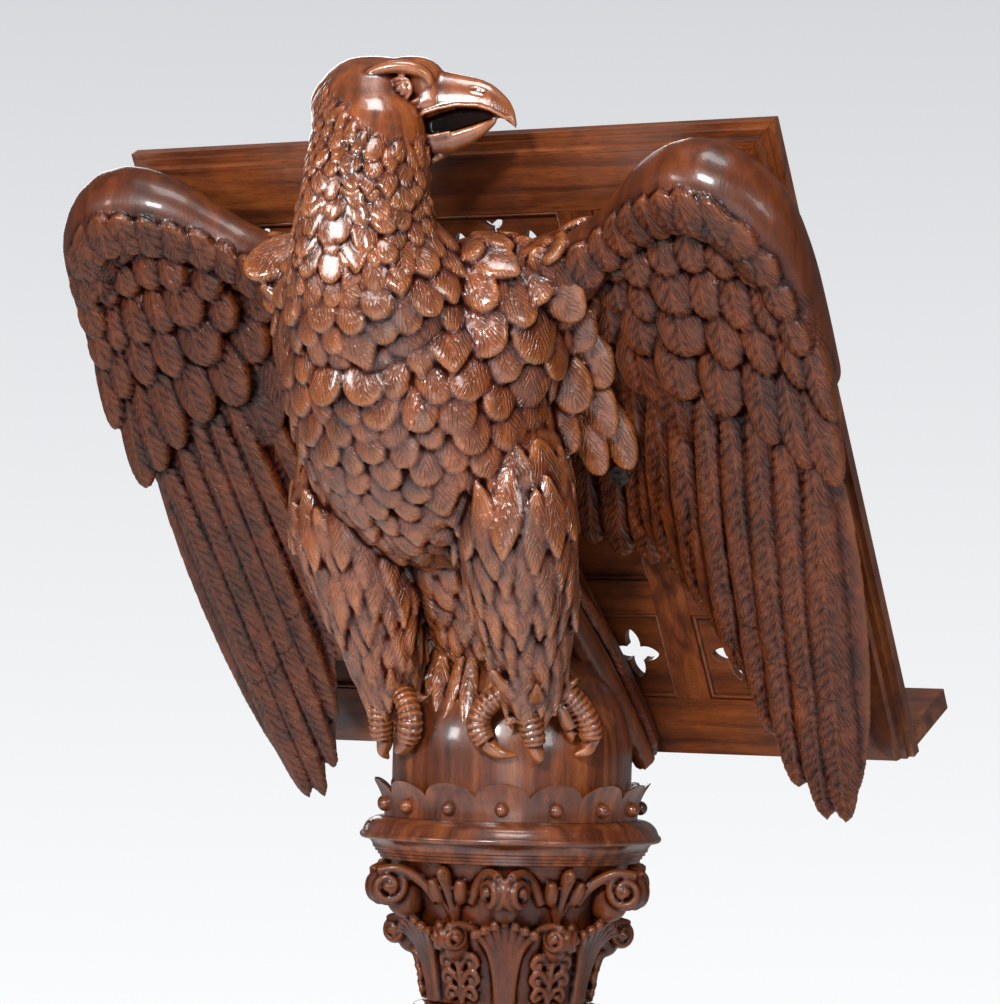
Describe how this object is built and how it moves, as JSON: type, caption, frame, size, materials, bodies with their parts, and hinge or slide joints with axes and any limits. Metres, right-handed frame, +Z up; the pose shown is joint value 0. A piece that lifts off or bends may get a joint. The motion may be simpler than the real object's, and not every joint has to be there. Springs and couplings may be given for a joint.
{
  "type": "eagle lectern",
  "caption": "Carved walnut church lectern: an eagle with spread wings on a revolving domed perch carries a framed, sloping book rest above a capital, fluted stem and stepped plinth.",
  "frame": {"origin": "on the floor, at the centre of the plinth's underside, on the column's axis", "axes": "+Z up, +Y towards the reader, -Y the way the eagle faces, +X the eagle's left"},
  "size_m": [0.7382, 0.6017, 1.7356],
  "materials": {
    "carved_walnut": "wax polished, dark in the hollows",
    "turned_walnut": "wax polished",
    "joinery_walnut": "wax polished, flat sawn",
    "beech_dowel": "bare",
    "wrought_iron": "dull, oiled"
  },
  "bodies": {
    "stand": {"plinth_lower": "turned_walnut", "plinth_upper": "turned_walnut", "base_moulding": "turned_walnut", "shaft": "turned_walnut", "necking_ring": "turned_walnut", "capital": "carved_walnut", "cap_moulding": "turned_walnut", "crown_gallery": "carved_walnut", "crown_bead_01": "turned_walnut", "crown_bead_02": "turned_walnut", "crown_bead_03": "turned_walnut", "crown_bead_04": "turned_walnut", "crown_bead_05": "turned_walnut", "crown_bead_06": "turned_walnut", "crown_bead_07": "turned_walnut", "crown_bead_08": "turned_walnut", "crown_bead_09": "turned_walnut", "crown_bead_10": "turned_walnut", "crown_bead_11": "turned_walnut", "crown_bead_12": "turned_walnut", "crown_bead_13": "turned_walnut", "crown_bead_14": "turned_walnut", "crown_bead_15": "turned_walnut", "pivot_pin": "wrought_iron", "wear_plate": "wrought_iron"},
    "eagle_top": {"perch_block": "carved_walnut", "eagle_body": "carved_walnut", "tail": "carved_walnut", "left_wing": "carved_walnut", "right_wing": "carved_walnut", "left_wing_dowel": "beech_dowel", "right_wing_dowel": "beech_dowel", "left_leg_dowel": "beech_dowel", "right_leg_dowel": "beech_dowel", "top_rail": "joinery_walnut", "bottom_rail": "joinery_walnut", "left_stile": "joinery_walnut", "right_stile": "joinery_walnut", "left_muntin": "joinery_walnut", "right_muntin": "joinery_walnut", "upper_cross_rail": "joinery_walnut", "lower_cross_rail": "joinery_walnut", "top_moulding": "joinery_walnut", "left_moulding": "joinery_walnut", "right_moulding": "joinery_walnut", "book_ledge": "joinery_walnut", "upper_left_panel": "joinery_walnut", "upper_centre_panel": "joinery_walnut", "upper_right_panel": "joinery_walnut", "middle_left_panel": "joinery_walnut", "middle_centre_panel": "joinery_walnut", "middle_right_panel": "joinery_walnut", "lower_left_panel": "joinery_walnut", "lower_centre_panel": "joinery_walnut", "lower_right_panel": "joinery_walnut", "left_bolt": "wrought_iron", "right_bolt": "wrought_iron", "left_nut": "wrought_iron", "right_nut": "wrought_iron"}
  },
  "joints": [
    {"name": "top_swivel", "type": "hinge", "parent": "stand", "child": "eagle_top", "pos_m": [0, 0, 1.1021], "axis": [0, 0, 1], "continuous": true}
  ]
}
